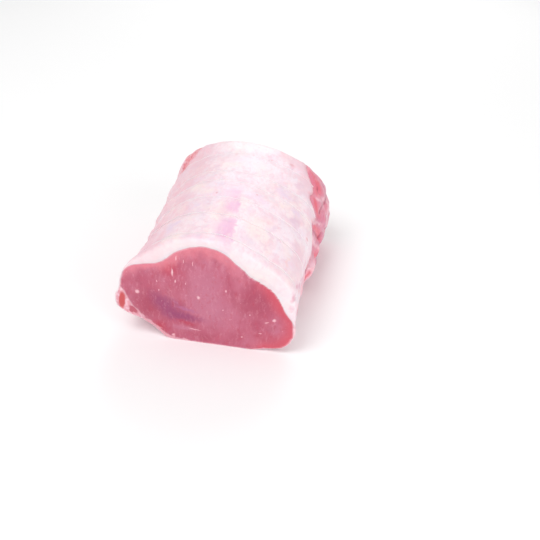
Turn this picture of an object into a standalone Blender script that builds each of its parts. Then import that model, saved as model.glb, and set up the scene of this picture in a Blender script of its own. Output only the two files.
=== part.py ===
"""A raw pork loin joint with its fat cap, tied with six loops of thin twine.

The joint lies on its flat underside with its cut face towards -Y. Two sets of landmarks give the
section at the cut face and at the far end, and every piece is lofted along Y from the sections
between them. Round a section, an angle of 0 degrees points along +X and 90 degrees points up.
Sizes are in millimetres and are turned into metres where the meshes are made.
"""

import math

import bmesh
import bpy
import numpy as np

MM = 0.001

# The joint as a whole
LENGTH = 147.0
WIDENING = 1.5  # above 1 the section grows mostly towards the far end
SEAM = 0.4  # clear space between two pieces that lie on each other

# Landmarks round a section, from the right corner over the crown to the underside.
# Each holds x and z of the meat's outline and the depth of what covers it.
FRONT_CENTRE = (-8.0, 33.0)
FRONT = {
    "right corner": (45.8, 21.5, 1.2),
    "right side": (40.2, 32.5, 5.5),
    "right shoulder": (34.5, 43.4, 10.0),
    "right slope": (18.5, 54.4, 12.0),
    "right dip": (10.6, 60.9, 9.0),
    "right of crown": (4.0, 67.0, 6.0),
    "crown": (-9.0, 70.2, 4.4),
    "left of crown": (-24.5, 65.6, 6.2),
    "left slope": (-40.5, 55.0, 8.0),
    "left shoulder": (-56.4, 49.7, 1.6),
    "left side": (-61.6, 35.0, 1.3),
    "left corner": (-64.5, 20.8, 0.9),
    "left underside": (-50.5, 12.4, 0.0),
    "left foot": (-32.0, 0.6, 0.0),
    "base": (-8.0, -1.5, 0.0),
    "right foot": (20.0, -0.6, 0.0),
    "right underside": (31.0, 2.0, 0.0),
    "right rise": (41.2, 5.0, 0.0),
    "right heel": (46.2, 10.6, 0.0),
}
REAR_CENTRE = (-8.0, 35.0)
REAR = {
    "right corner": (49.0, 21.0, 1.0),
    "right side": (48.8, 34.0, 1.4),
    "right shoulder": (45.0, 46.5, 2.0),
    "right slope": (30.0, 58.0, 5.0),
    "right dip": (17.5, 65.0, 5.0),
    "right of crown": (8.0, 68.7, 5.0),
    "crown": (-15.0, 71.9, 5.0),
    "left of crown": (-36.8, 67.6, 5.0),
    "left slope": (-50.2, 57.8, 4.6),
    "left shoulder": (-58.6, 47.0, 3.4),
    "left side": (-65.0, 33.0, 2.4),
    "left corner": (-66.5, 19.0, 1.4),
    "left underside": (-58.0, 7.0, 0.0),
    "left foot": (-38.0, -1.0, 0.0),
    "base": (-8.0, -2.0, 0.0),
    "right foot": (30.0, -1.0, 0.0),
    "right underside": (43.5, 5.0, 0.0),
}

# Waists behind the cut face, where the first loops pull the joint in:
# middle and half width in degrees, depth, and the length over which each sets in
WAISTS = (
    (168.0, 19.0, 4.4, 8.0),
    (-16.0, 16.0, 2.7, 12.0),
)

# Where the left side swells out, along its rear half and again behind the last loop:
# middle and half width in degrees, height, first y, and the length over which each rises
SWELLINGS = (
    (166.0, 20.0, 2.4, 58.0, 14.0),
    (152.0, 17.0, 3.0, 126.0, 11.0),
)

# The flank's far end, which tucks in: middle and half width in degrees, depth, first y, length
TUCK = (6.0, 16.0, 1.9, 130.0, 12.0)

# The fat cap, from its right edge over the top to its left edge, in degrees.
# The right edge climbs from the corner of the cut face to the shoulder and bares the flank.
RIGHT_EDGE = {
    0.0: -14.0,
    34.5: -10.0,
    46.5: 2.0,
    62.0: -5.0,
    76.0: 0.0,
    84.0: 11.0,
    94.0: 4.0,
    104.0: 17.0,
    125.0: 20.0,
    LENGTH: 36.0,
}
LEFT_EDGE = 194.0
LIP = 0.9  # thickness of the fat at its edges
LIP_TAPER = 8.0  # degrees over which the fat thins to its lip

# The small side muscle in the lower left corner, a lens parted from the eye by a seam
SIDE_START = 180.0
SIDE_END = 206.5
SIDE_DEPTH = 9.0
SIDE_LIP = 0.6
SIDE_STEP = 0.8  # degrees over which the eye steps in to make room for the lens

# Loops of twine: y in the middle, and how far the right side runs ahead of it
TWINE = 1.2
TWINE_GAP = 0.3
LOOPS = ((9.0, 0.0), (34.5, 0.5), (56.5, 1.5), (80.0, 1.5), (96.5, 3.0), (125.0, -0.5))
SKEW_REACH = 60.0  # x at which a loop has its full skew
GROOVE_DEPTH = 0.8
GROOVE_REACH = 2.4
BED_DEPTH = TWINE + TWINE_GAP + 0.05  # groove under the joint, which takes the whole twine
SWELL = 0.7  # rise of the fat between two loops
BARE_SWELL = 1.1  # rise of bare meat there, which is softer

# Bundles of bared meat along the right flank: middle and half width in degrees, height, first y
BUNDLES = (
    (14.0, 5.5, 2.2, 104.0),
    (1.0, 5.5, 4.4, 88.0),
    (-11.0, 5.5, 4.2, 53.0),
    (-23.0, 5.5, 5.2, 66.0),
    (-35.0, 5.5, 2.8, 72.0),
)
BUNDLE_RISE = 10.0  # length over which a bundle swells up from its start
BUNDLE_HOLD = 0.55  # share of its height that a loop presses out
HOLD_REACH = 5.0

# Low unevenness all over: height, waves round the section, wavelength along it, phase
RIPPLES = ((0.30, 3, 71.0, 0.4), (0.22, 5, 43.0, 2.1), (0.14, 8, 29.0, 4.0))

# The cut ends
FAT_ROUND = 2.0  # rounding of the fat's rim, less where the fat is thin
FAT_ROUND_SHARE = 0.4  # most of the fat's thickness that its rounding takes
BARE_ROUND = 0.9
RIM_REACH = 3.0  # length over which a rim rounds off
RIM_STEPS = (0.12, 0.4)  # rings on the rounding, as shares of its length
DOME = 1.6  # swell of the cut meat at its middle
DOME_RINGS = (0.93, 0.72, 0.42, 0.16)

# Columns of the meshes, counted between the edges of the pieces
FLANK_START = 316.0  # from here to the fat's right edge the flank has finer columns
TOP_COLUMNS = 24
SIDE_COVERED_COLUMNS = 3
SIDE_BARE_COLUMNS = 4
UNDER_COLUMNS = 10
FLANK_COLUMNS = 15
SIDE_FIRST = TOP_COLUMNS + 1
FAT_LAST = SIDE_FIRST + SIDE_COVERED_COLUMNS
SIDE_LAST = FAT_LAST + SIDE_BARE_COLUMNS
RING_SPACING = 8.0


def eased(share):
    share = np.clip(share, 0.0, 1.0)
    return share * share * (3.0 - 2.0 * share)


def turned_from(angles, middle):
    """Angles measured from a middle, between -180 and 180 degrees."""
    return (angles - middle + 180.0) % 360.0 - 180.0


def polar(landmarks, centre):
    """Angles in degrees, radii and coverings of the landmarks, in order of angle."""
    rows = []
    for x, z, covering in landmarks.values():
        across = x - centre[0]
        up = z - centre[1]
        angle = math.degrees(math.atan2(up, across)) % 360.0
        rows.append((angle, math.hypot(across, up), covering))
    return np.array(sorted(rows)).T


FRONT_POLAR = polar(FRONT, FRONT_CENTRE)
REAR_POLAR = polar(REAR, REAR_CENTRE)


def read_round(knots, values, angles):
    """A smooth closed curve through values at the knots, read at the angles."""
    knots = np.concatenate([knots[-2:] - 360.0, knots, knots[:2] + 360.0])
    values = np.concatenate([values[-2:], values, values[:2]])
    slopes = np.gradient(values, knots)
    angles = np.mod(angles - knots[1], 360.0) + knots[1]
    after = np.clip(np.searchsorted(knots, angles), 1, len(knots) - 1)
    before = after - 1
    span = knots[after] - knots[before]
    t = (angles - knots[before]) / span
    blend = values[before] * (1.0 - eased(t)) + values[after] * eased(t)
    leaving = slopes[before] * span * t * (1.0 - t) ** 2
    arriving = slopes[after] * span * t**2 * (1.0 - t)
    return blend + leaving - arriving


def grown(y):
    """How far the section at y has gone from the front shape to the rear shape."""
    return (y / LENGTH) ** WIDENING


def mixed(row, angles, y):
    """One row of the landmarks, radii or coverings, for the section at y."""
    front = read_round(FRONT_POLAR[0], FRONT_POLAR[row], angles)
    rear = read_round(REAR_POLAR[0], REAR_POLAR[row], angles)
    return front * (1.0 - grown(y)) + rear * grown(y)


def ridge(angles, middle, half_width):
    """1 along the middle of a band round the section, falling off to 0 on both sides."""
    return np.exp(-((turned_from(angles, middle) / half_width) ** 2))


def skin_radius(angles, y):
    """The outside without its relief: meat and what covers it, with the waists and swellings."""
    radius = mixed(1, angles, y) + np.maximum(mixed(2, angles, y), 0.0)
    for middle, half_width, depth, onset in WAISTS:
        hold = (1.0 - math.exp(-y / onset)) * (1.0 - grown(y))
        radius -= depth * hold * ridge(angles, middle, half_width)
    for middle, half_width, rise, first, length in SWELLINGS:
        radius += rise * eased((y - first) / length) * ridge(angles, middle, half_width)
    return radius


def right_edge(y):
    places = sorted(RIGHT_EDGE)
    for before, after in zip(places, places[1:]):
        if y <= after:
            share = eased((y - before) / (after - before))
            return RIGHT_EDGE[before] * (1.0 - share) + RIGHT_EDGE[after] * share
    return RIGHT_EDGE[LENGTH]


def fat_thickness(angles, y):
    """The covering's depth, thinned to a lip at the fat's edges."""
    full = np.maximum(mixed(2, angles, y), LIP)
    inwards = np.minimum(angles - right_edge(y), LEFT_EDGE - angles)
    return LIP + (full - LIP) * eased(inwards / LIP_TAPER)


def side_thickness(angles):
    share = np.clip((angles - SIDE_START) / (SIDE_END - SIDE_START), 0.0, 1.0)
    return SIDE_LIP + (SIDE_DEPTH - SIDE_LIP) * np.sin(math.pi * share)


def from_loop(y):
    return min(abs(y - place) for place, _ in LOOPS)


def groove(y):
    """1 under a loop of twine, falling to 0 at the groove's lips."""
    return max(0.0, 1.0 - from_loop(y) / GROOVE_REACH)


def between_loops(y):
    """1 half way between two loops, 0 at a loop or a cut end."""
    places = [0.0, *(place for place, _ in LOOPS), LENGTH]
    for before, after in zip(places, places[1:]):
        if y <= after:
            return math.sin(math.pi * (y - before) / (after - before))
    return 0.0


def bundles(angles, y):
    """Height of the bared bundles of meat, pressed down by the loops and tucked in at the end."""
    height = np.zeros_like(angles)
    for middle, half_width, rise, first in BUNDLES:
        height += rise * eased((y - first) / BUNDLE_RISE) * ridge(angles, middle, half_width)
    height *= 1.0 - BUNDLE_HOLD * math.exp(-((from_loop(y) / HOLD_REACH) ** 2))
    middle, half_width, depth, first, length = TUCK
    return height - depth * eased((y - first) / length) * ridge(angles, middle, half_width)


def ripples(angles, y):
    height = np.zeros_like(angles)
    for rise, waves, length, phase in RIPPLES:
        along = math.sin(2.0 * math.pi * y / length + phase)
        height += rise * along * np.cos(waves * np.radians(angles) + 2.0 * phase)
    return height


def relief(angles, y, bare):
    """What lifts or sinks the outside between the rims, where bare is 1 on meat and 0 on fat."""
    swell = (SWELL + (BARE_SWELL - SWELL) * bare) * between_loops(y)
    return swell + bare * bundles(angles, y) + ripples(angles, y) - GROOVE_DEPTH * groove(y)


def rounding(y):
    """1 at a cut end, falling to 0 along a quarter circle."""
    share = min(1.0, min(y, LENGTH - y) / RIM_REACH)
    return 1.0 - math.sqrt(1.0 - (1.0 - share) ** 2)


def column_angles(y):
    """Angles of one ring of points, bunched where pieces meet, once round from the right edge."""
    right = right_edge(y)
    spans = (
        (right, SIDE_START - SIDE_STEP, TOP_COLUMNS),
        (SIDE_START - SIDE_STEP, SIDE_START, 1),
        (SIDE_START, LEFT_EDGE, SIDE_COVERED_COLUMNS),
        (LEFT_EDGE, SIDE_END, SIDE_BARE_COLUMNS),
        (SIDE_END, SIDE_END + SIDE_STEP, 1),
        (SIDE_END + SIDE_STEP, FLANK_START, UNDER_COLUMNS),
        (FLANK_START, right + 360.0, FLANK_COLUMNS),
    )
    parts = [np.linspace(*span, endpoint=False) for span in spans]
    return np.concatenate(parts)


def section(y):
    """Angles, and the radii of the outside, of what lies under the fat, and of the eye."""
    angles = column_angles(y)
    columns = np.arange(len(angles))
    capped = columns <= FAT_LAST
    thickness = fat_thickness(angles, y)
    surface = skin_radius(angles, y) + relief(angles, y, np.where(capped, 0.0, 1.0))
    rim = np.where(capped, np.minimum(FAT_ROUND, FAT_ROUND_SHARE * thickness), BARE_ROUND)
    outside = surface - rim * rounding(y)
    under_fat = np.where(capped, surface - thickness, outside)
    eye = np.where(capped, under_fat - SEAM, outside)
    sided = (columns >= SIDE_FIRST) & (columns <= SIDE_LAST)
    eye[sided] -= side_thickness(angles)[sided] + SEAM
    return angles, outside, under_fat, eye


def ring_points(radii, angles, y):
    """Points of a ring, with the underside pressed flat and the ring askew as its loop is."""
    centre_x = FRONT_CENTRE[0] + (REAR_CENTRE[0] - FRONT_CENTRE[0]) * grown(y)
    centre_z = FRONT_CENTRE[1] + (REAR_CENTRE[1] - FRONT_CENTRE[1]) * grown(y)
    x = centre_x + radii * np.cos(np.radians(angles))
    z = centre_z + radii * np.sin(np.radians(angles))
    places = [0.0, *(place for place, _ in LOOPS), LENGTH]
    skews = [0.0, *(skew for _, skew in LOOPS), 0.0]
    ahead = np.interp(y, places, skews) * x / SKEW_REACH
    return np.stack([x, y + ahead, np.maximum(z, BED_DEPTH * groove(y))], axis=1)


def ring_places():
    """Places along Y of the rings, closest together at the grooves and rims."""
    marks = [0.0, LENGTH]
    for share in (*RIM_STEPS, 1.0):
        marks += [share * RIM_REACH, LENGTH - share * RIM_REACH]
    for place, _ in LOOPS:
        marks += [place - GROOVE_REACH, place, place + GROOVE_REACH]
    marks.sort()
    places = [0.0]
    for before, after in zip(marks, marks[1:]):
        steps = max(1, round((after - before) / RING_SPACING))
        places += list(np.linspace(before, after, steps + 1)[1:])
    return places


def add_ring(shell, points):
    return [shell.verts.new(point * MM) for point in points]


def add_loft(shell, rings):
    """Quads between neighbouring closed rings of vertices."""
    for ring, following in zip(rings, rings[1:]):
        for column in range(len(ring)):
            beside = (column + 1) % len(ring)
            shell.faces.new((ring[column], ring[beside], following[beside], following[column]))


def domed_end(rim, way):
    """Rings that close a cut end with a slight swell, from the rim inwards."""
    middle = rim.mean(axis=0)
    rings = []
    for scale in DOME_RINGS:
        ring = middle + (rim - middle) * scale
        ring[:, 1] += way * DOME * (1.0 - scale**2)
        rings.append(ring)
    return rings


def finished_object(name, shell):
    """Turn a closed shell into an object with outward normals and smooth shading."""
    bmesh.ops.recalc_face_normals(shell, faces=shell.faces)
    bmesh.ops.triangulate(shell, faces=shell.faces)
    mesh = bpy.data.meshes.new(name)
    shell.to_mesh(mesh)
    shell.free()
    mesh.shade_smooth()
    mesh.set_sharp_from_angle(angle=math.radians(40.0))
    made = bpy.data.objects.new(name, mesh)
    bpy.context.scene.collection.objects.link(made)
    return made


def make_lean():
    """The eye of the loin with the bared flank and the underside."""
    rings = []
    for y in ring_places():
        angles, _, _, eye = section(y)
        rings.append(ring_points(eye, angles, y))
    rings = domed_end(rings[0], -1.0)[::-1] + rings + domed_end(rings[-1], 1.0)
    shell = bmesh.new()
    rows = [add_ring(shell, ring) for ring in rings]
    add_loft(shell, rows)
    shell.faces.new(rows[0])
    shell.faces.new(rows[-1])
    return finished_object("lean", shell)


def make_layer(name, first, last, surfaces):
    """A layer the length of the joint, from one column to another.

    surfaces takes a section and returns the layer's outer and inner radii.
    """
    shell = bmesh.new()
    rows = []
    for y in ring_places():
        angles, *radii = section(y)
        outer, inner = surfaces(*radii)
        span = slice(first, last + 1)
        over = ring_points(outer[span], angles[span], y)
        under = ring_points(inner[span], angles[span], y)
        rows.append(add_ring(shell, np.concatenate([over, under[::-1]])))
    add_loft(shell, rows)
    for row in (rows[0], rows[-1]):
        for column in range(last - first):
            shell.faces.new((row[column], row[column + 1], row[-2 - column], row[-1 - column]))
    return finished_object(name, shell)


def fat_surfaces(outside, under_fat, eye):
    return outside, under_fat


def side_surfaces(outside, under_fat, eye):
    """The side muscle lies under the fat and comes bare below the fat's left edge."""
    covered = np.arange(len(outside)) <= FAT_LAST
    return np.where(covered, under_fat - SEAM, outside), eye + SEAM


def make_loop(name, y):
    """A closed loop of twine in its groove, following the section's outside."""
    angles, outside, _, _ = section(y)
    floor = ring_points(outside, angles, y)
    along = np.roll(floor, -1, axis=0) - np.roll(floor, 1, axis=0)
    outwards = np.stack([along[:, 2], np.zeros(len(along)), -along[:, 0]], axis=1)
    outwards /= np.linalg.norm(outwards, axis=1)[:, None]
    path = floor + outwards * (TWINE / 2.0 + TWINE_GAP)
    curve = bpy.data.curves.new(name, "CURVE")
    curve.dimensions = "3D"
    curve.bevel_depth = TWINE / 2.0 * MM
    curve.bevel_resolution = 1
    spline = curve.splines.new("POLY")
    spline.points.add(len(path) - 1)
    for point, place in zip(spline.points, path * MM):
        point.co = (*place, 1.0)
    spline.use_cyclic_u = True
    spline.use_smooth = True
    made = bpy.data.objects.new(name, curve)
    bpy.context.scene.collection.objects.link(made)
    return made


def paint(piece, name, colour, roughness):
    material = bpy.data.materials.new(name)
    material.use_nodes = True
    shader = material.node_tree.nodes["Principled BSDF"]
    shader.inputs["Base Color"].default_value = (*colour, 1.0)
    shader.inputs["Roughness"].default_value = roughness
    shader.inputs["Metallic"].default_value = 0.0
    piece.data.materials.append(material)


def stand_on_origin(pieces):
    """Move every piece so that the middle of the joint's underside is the origin."""
    bpy.context.view_layer.update()
    graph = bpy.context.evaluated_depsgraph_get()
    points = []
    for piece in pieces:
        shape = piece.evaluated_get(graph)
        points += [vertex.co.copy() for vertex in shape.to_mesh().vertices]
        shape.to_mesh_clear()
    low = np.min(points, axis=0)
    middle = (low + np.max(points, axis=0)) / 2.0
    for piece in pieces:
        piece.location = (-middle[0], -middle[1], -low[2])


def main():
    for old in list(bpy.data.objects):
        bpy.data.objects.remove(old, do_unlink=True)
    lean = make_lean()
    paint(lean, "loin meat", (0.62, 0.18, 0.22), 0.45)
    side_muscle = make_layer("side_muscle", SIDE_FIRST, SIDE_LAST, side_surfaces)
    paint(side_muscle, "side muscle", (0.60, 0.14, 0.15), 0.45)
    fat_cap = make_layer("fat_cap", 0, FAT_LAST, fat_surfaces)
    paint(fat_cap, "pork fat", (0.90, 0.78, 0.78), 0.4)
    pieces = [lean, side_muscle, fat_cap]
    for number, (y, _) in enumerate(LOOPS, start=1):
        loop = make_loop(f"string_{number}", y)
        paint(loop, f"twine {number}", (0.88, 0.84, 0.80), 0.8)
        pieces.append(loop)
    stand_on_origin(pieces)


main()
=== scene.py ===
# A raw pork loin joint with its fat cap, tied with six loops of twine.
# Measures are in millimetres from below the cut face: x to the right, y back along the joint,
# z up. Round a section, 0 degrees points right and 90 degrees points up.

import math

import bpy
import numpy as np
from mathutils import Matrix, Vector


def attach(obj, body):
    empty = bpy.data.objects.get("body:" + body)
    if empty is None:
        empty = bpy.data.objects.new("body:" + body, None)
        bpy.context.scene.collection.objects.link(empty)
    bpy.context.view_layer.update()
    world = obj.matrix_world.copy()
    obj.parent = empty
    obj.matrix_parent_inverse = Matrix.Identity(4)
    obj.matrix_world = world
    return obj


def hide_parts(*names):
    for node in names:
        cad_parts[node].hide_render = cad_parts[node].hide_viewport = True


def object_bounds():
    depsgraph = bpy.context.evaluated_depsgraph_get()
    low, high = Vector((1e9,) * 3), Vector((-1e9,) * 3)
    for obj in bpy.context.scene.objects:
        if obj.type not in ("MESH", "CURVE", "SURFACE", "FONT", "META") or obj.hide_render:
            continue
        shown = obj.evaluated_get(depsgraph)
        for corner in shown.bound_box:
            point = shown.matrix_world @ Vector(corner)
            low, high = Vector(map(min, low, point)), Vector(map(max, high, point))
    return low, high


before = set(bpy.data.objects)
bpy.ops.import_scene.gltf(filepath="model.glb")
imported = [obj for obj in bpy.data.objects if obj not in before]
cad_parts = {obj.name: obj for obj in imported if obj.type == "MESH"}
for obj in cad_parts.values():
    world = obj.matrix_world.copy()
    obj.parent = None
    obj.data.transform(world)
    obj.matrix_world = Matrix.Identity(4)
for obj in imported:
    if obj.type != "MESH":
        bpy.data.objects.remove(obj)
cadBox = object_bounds()
cadLow, cadHigh = (np.array(corner) * 1000.0 for corner in cadBox)

even = (1.0, 1.0, 1.0)  # no stretch

joint = {
    "length": 147.0,
    "widening": 1.5,  # above 1 the section grows mostly towards the far end
    "place": (7.361, -73.5, 0.0),  # the joint's own middle, set on the origin of the frame
    "frontMiddle": (-8.0, 33.0),
    "rearMiddle": (-8.0, 35.0),
    "skinReach": 56.0,  # usual distance of the skin from the middle, for lengths round it
    # middle and half width in degrees, depth and the length over which it sets in
    "waists": ((166.0, 19.0, 4.4, 6.5), (-18.0, 14.0, 3.6, 9.0)),
    # middle and half width in degrees, height, first y and length
    "swellings": ((166, 20, 1.6, 50, 26), (160, 18, 0.8, 97, 10), (152, 17, 3.2, 126, 11)),
    # height, count round the section, length along the joint and phase
    "ripples": ((0.30, 3, 71.0, 0.4), (0.22, 5, 43.0, 2.1), (0.14, 8, 29.0, 4.0)),
    "rimReach": 3.0,  # length over which both ends round off
    "bareRound": 0.9,  # how much the bare meat rounds off there
    # x and z of the meat and the depth of fat over it, from the right corner over the crown
    "front": (
        (45.8, 21.5, 1.2), (40.2, 32.5, 5.5), (34.5, 43.4, 10), (18.5, 54.4, 12),
        (10.6, 60.9, 9), (4, 67, 6), (-9, 70.2, 4.4), (-24.5, 65.6, 6.2),
        (-40.5, 55, 8), (-56.9, 49.5, 1.6), (-62.2, 35.4, 1.3), (-64.5, 20.8, 0.9),
        (-50.5, 12.4, 0), (-32, 0.6, 0), (-8, -1.5, 0), (20, -0.6, 0), (31, 2, 0), (41.2, 5, 0),
        (46.2, 10.6, 0),
    ),
    "rear": (
        (49, 21, 1), (48.9, 34, 1.4), (45.6, 47.2, 2), (31.1, 59.3, 5),
        (17.8, 65.4, 5), (8, 68.7, 5), (-15, 71.9, 5), (-36.8, 67.6, 5),
        (-50.2, 57.8, 4.6), (-58.6, 47, 3.4), (-65, 33, 2.4), (-66.5, 19, 1.4),
        (-58, 7, 0), (-38, -1, 0), (-8, -2, 0), (30, -1, 0), (43.5, 5, 0),
    ),
}

fat = {
    # y and angle of the right edge, which bares the flank behind the third loop
    "rightEdge": (
        (0, -13), (12, -14), (26, -11), (38, -10), (43, -7), (46.5, -4),
        (54, -6), (62, -7), (70, -4), (76, 3), (80, 9), (84, 14),
        (88, 13), (93, 10), (97, 11.5), (100, 16), (103.5, 21.5), (108, 23.5),
        (114, 22), (120, 22), (125, 24), (129, 27.5), (134, 32), (147, 35),
    ),
    "leftEdge": 194.0,
    "lip": 0.9,  # depth of the fat at its very edges
    "lipTaper": 8.0,  # degrees
    "lipDrop": 0.8,
    "lipRound": 2.2,  # length over which the lip rounds off
    "rimRound": 2.0,  # how much the fat rounds off at both ends, and at most what share of it
    "rimShare": 0.4,
    "swell": 0.7,  # how far it swells between the loops
    "fray": 0.6,  # raggedness of the right edge, in degrees
    "teeth": 0.16,  # raggedness of the border to the meat, down the right slope
    "toothed": (24.0, 20.0),  # its middle and half width in degrees
    # y, angle and half width along the torn rear left shoulder
    "torn": (
        ((147, 136, 3.5), (141, 143, 5), (134, 149, 6), (128, 154, 6), (121, 160, 3.5), (113, 165, 2)),
        ((143, 152, 8), (137, 165, 8)),
    ),
    "tornDepth": 0.5,
    "folds": (  # the same for the folds low on the right
        ((11, 10, 1.3), (18, 7, 1.8), (23.5, 4.5, 2.3), (32, 1, 2), (40, -3, 1.8)),
        ((2.5, 8.5, 1.3), (6, 8, 1.9), (9, 7, 1.4)),
        ((36, 7, 1.1), (44, 5, 1.4), (52, 3, 1.1)),
    ),
    "foldDepth": 0.9,
    "left": (168.0, 26.0, 10.0, 30.0),  # the sunken, lumpy left side: angles, first y, length
    "leftDepth": 0.9,
}

relief = {
    # height, size, seed and stretch of each set of waves
    "fat": ((0.26, 24.0, 11, even), (0.13, 9.0, 12, even), (0.05, 3.6, 13, (1.0, 1.8, 1.0))),
    "meat": ((0.30, 13.0, 21, (1.0, 2.6, 1.0)), (0.16, 4.6, 22, (1.0, 2.4, 1.0))),
    "lumps": ((0.35, 11.0, 15, even), (0.22, 5.2, 16, even)),
    "pucker": ((0.10, 5.0, 31, (1.0, 9.0, 1.0)),),
    "puckerReach": 5.0,  # on both sides of a loop
    "sink": 0.25,
}

sideMuscle = {"start": 177.5, "end": 206.5, "depth": 9.0, "thinnest": 0.03}

flank = {
    "start": 316.0,
    "swell": 1.1,
    # middle and half width in degrees, height, first y, sway in degrees and its phase
    "bundles": (
        (13, 6.5, 2.3, 104, 1.5, 0.3),
        (1, 6.5, 4.3, 89, 1.8, 1.9),
        (-11, 6.5, 4, 54, 1.6, 3.7),
        (-23, 6.5, 3.7, 68, 1.8, 5.2),
        (-35, 6.5, 2.8, 74, 1.5, 0.9),
    ),
    "swayLength": 61.0,
    "overlap": 1.12,
    "rise": 10.0,  # length over which a bundle rises
    "hold": 0.55,  # how much the loops press it down, and how far from them
    "holdReach": 5.0,
    # rounded together towards the far end: height, angles, share, first y and length
    "drawn": (3.4, -8.0, 26.0, 0.6, 112.0, 22.0),
    "tuck": (1.9, 130.0, 12.0, 6.0, 16.0),  # drawn in at the far end: depth, first y, length, angles
    # paths over the bared meat as y, angle and half width: creases, pale films and red lobes
    "creases": (
        ((141, 16, 1.4), (128, 7, 2), (114, 3.5, 1.8), (103, -3, 1.8), (95, -9, 1.5)),
        ((128, 20, 1.2), (118, 13, 1.5), (107, 9, 1.3)),
        ((82, 9, 1.3), (90, 0, 1.5), (98, -7, 1.4)),
        ((62, -4, 1.3), (57, -10, 1.6), (52, -17, 1.6), (47, -24, 1.4)),
        ((132, -14, 1.5), (112, -17, 1.8), (98, -21, 1.5)),
    ),
    "creaseDepth": 0.8,
    "films": (
        ((134, 4, 1.6), (127, 10.5, 2), (120, 12.5, 2), (113, 17, 2.2)),
        ((84, 15, 1.5), (92, 9.5, 1.8), (99, 4.5, 1.6)),
        ((137, 4, 2.2), (132, -4, 3), (130, -12, 2.6)),
        ((79, 5, 1.6), (86, -5, 2), (94, -15, 2.2), (101, -23, 2)),
        ((60, -8, 1.6), (65, -15, 2.2), (74, -21, 2.4)),
        ((147, 28, 1.6), (147, 10, 2), (147, -10, 2), (147, -28, 2)),
    ),
    "lobes": (
        ((140, 31, 3.5), (134, 25, 5), (128, 18.5, 5), (119, 19.5, 3)),
        ((108, 18.5, 3.5), (105, 15, 4), (103, 11, 3)),
        ((85, 11, 2.5), (89, 5, 3.5), (95, -1, 3.5), (98, -9, 3)),
        ((84, -12, 3.5), (74, -14, 4), (66, -19, 3)),
        ((60, -12, 2), (54, -18, 2.5), (46, -22, 2)),
    ),
}

twine = {
    # y of each loop, and how far it runs askew at skewReach from the middle
    "loops": ((9.0, 0.0), (34.5, 0.5), (56.5, 1.5), (80.0, 1.5), (96.5, 3.0), (125.0, -0.5)),
    "skewReach": 60.0,
    "grooveDepth": 0.14,
    "grooveReach": 1.8,
    "bed": 1.55,  # height of the underside below a loop, and how far from it
    "bedReach": 2.4,
    "lift": (0.12, 0.15, -0.02, -0.07, -0.10, -0.12),  # middle of each loop above its groove's floor
    "sunk": 0.42,  # how much deeper it lies in bare meat
    "sunkAngles": (26.0, 28.0, 6.0),  # middle below the fat's edge, half width and fading
    "waver": 0.07,
    "plyRadius": 0.21,
    "plyOffset": 0.12,
    "pitch": 2.8,
    "points": 820,
    "sides": 7,
    "smoothing": 11,  # count of points over which a loop evens out what it lies on
}

wobble = {"across": 0.8, "acrossLength": 2.6, "ahead": 0.7, "aheadAngle": 3.1}  # of the paths


def eased(share):
    share = np.clip(share, 0.0, 1.0)
    return share * share * (3.0 - 2.0 * share)


def turnedFrom(angles, middle):
    return (angles - middle + 180.0) % 360.0 - 180.0


def ridge(angles, middle, halfWidth):
    return np.exp(-((turnedFrom(angles, middle) / halfWidth) ** 2))


def roundKnots(landmarks, middle):
    rows = []
    for x, z, depth in landmarks:
        across, up = x - middle[0], z - middle[1]
        rows.append((math.degrees(math.atan2(up, across)) % 360.0, math.hypot(across, up), depth))
    return np.array(sorted(rows)).T


frontKnots = roundKnots(joint["front"], joint["frontMiddle"])
rearKnots = roundKnots(joint["rear"], joint["rearMiddle"])


def readRound(knots, values, angles):
    # a smooth closed curve through values at the knots
    knots = np.concatenate([knots[-2:] - 360.0, knots, knots[:2] + 360.0])
    values = np.concatenate([values[-2:], values, values[:2]])
    slopes = np.gradient(values, knots)
    angles = np.mod(angles - knots[1], 360.0) + knots[1]
    after = np.clip(np.searchsorted(knots, angles), 1, len(knots) - 1)
    before = after - 1
    span = knots[after] - knots[before]
    t = (angles - knots[before]) / span
    between = values[before] * (1.0 - eased(t)) + values[after] * eased(t)
    leaving = slopes[before] * span * t * (1.0 - t) ** 2
    return between + leaving - slopes[after] * span * t**2 * (1.0 - t)


def grown(y):
    return (np.clip(y, 0.0, None) / joint["length"]) ** joint["widening"]


def mixed(row, angles, y):
    front = readRound(frontKnots[0], frontKnots[row], angles)
    rear = readRound(rearKnots[0], rearKnots[row], angles)
    return front * (1.0 - grown(y)) + rear * grown(y)


def alongPaths(paths, angles, y):
    # 1 on the paths over the skin, falling off to their sides
    nearest = np.zeros(np.broadcast(angles, y).shape)
    perDegree = math.radians(joint["skinReach"])
    aside = wobble["across"] * np.sin(y / wobble["acrossLength"])
    onwards = wobble["ahead"] * np.sin(angles / wobble["aheadAngle"])
    for path in paths:
        for (firstY, firstAngle, firstWidth), (nextY, nextAngle, nextWidth) in zip(path, path[1:]):
            across = turnedFrom(angles, firstAngle) * perDegree + aside
            ahead = y - firstY + onwards
            wholeAcross, wholeAhead = (nextAngle - firstAngle) * perDegree, nextY - firstY
            share = (across * wholeAcross + ahead * wholeAhead) / (wholeAcross**2 + wholeAhead**2)
            share = np.clip(share, 0.0, 1.0)
            away = np.hypot(across - share * wholeAcross, ahead - share * wholeAhead)
            width = firstWidth + (nextWidth - firstWidth) * share
            nearest = np.maximum(nearest, np.exp(-((away / width) ** 2)))
    return nearest


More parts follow.
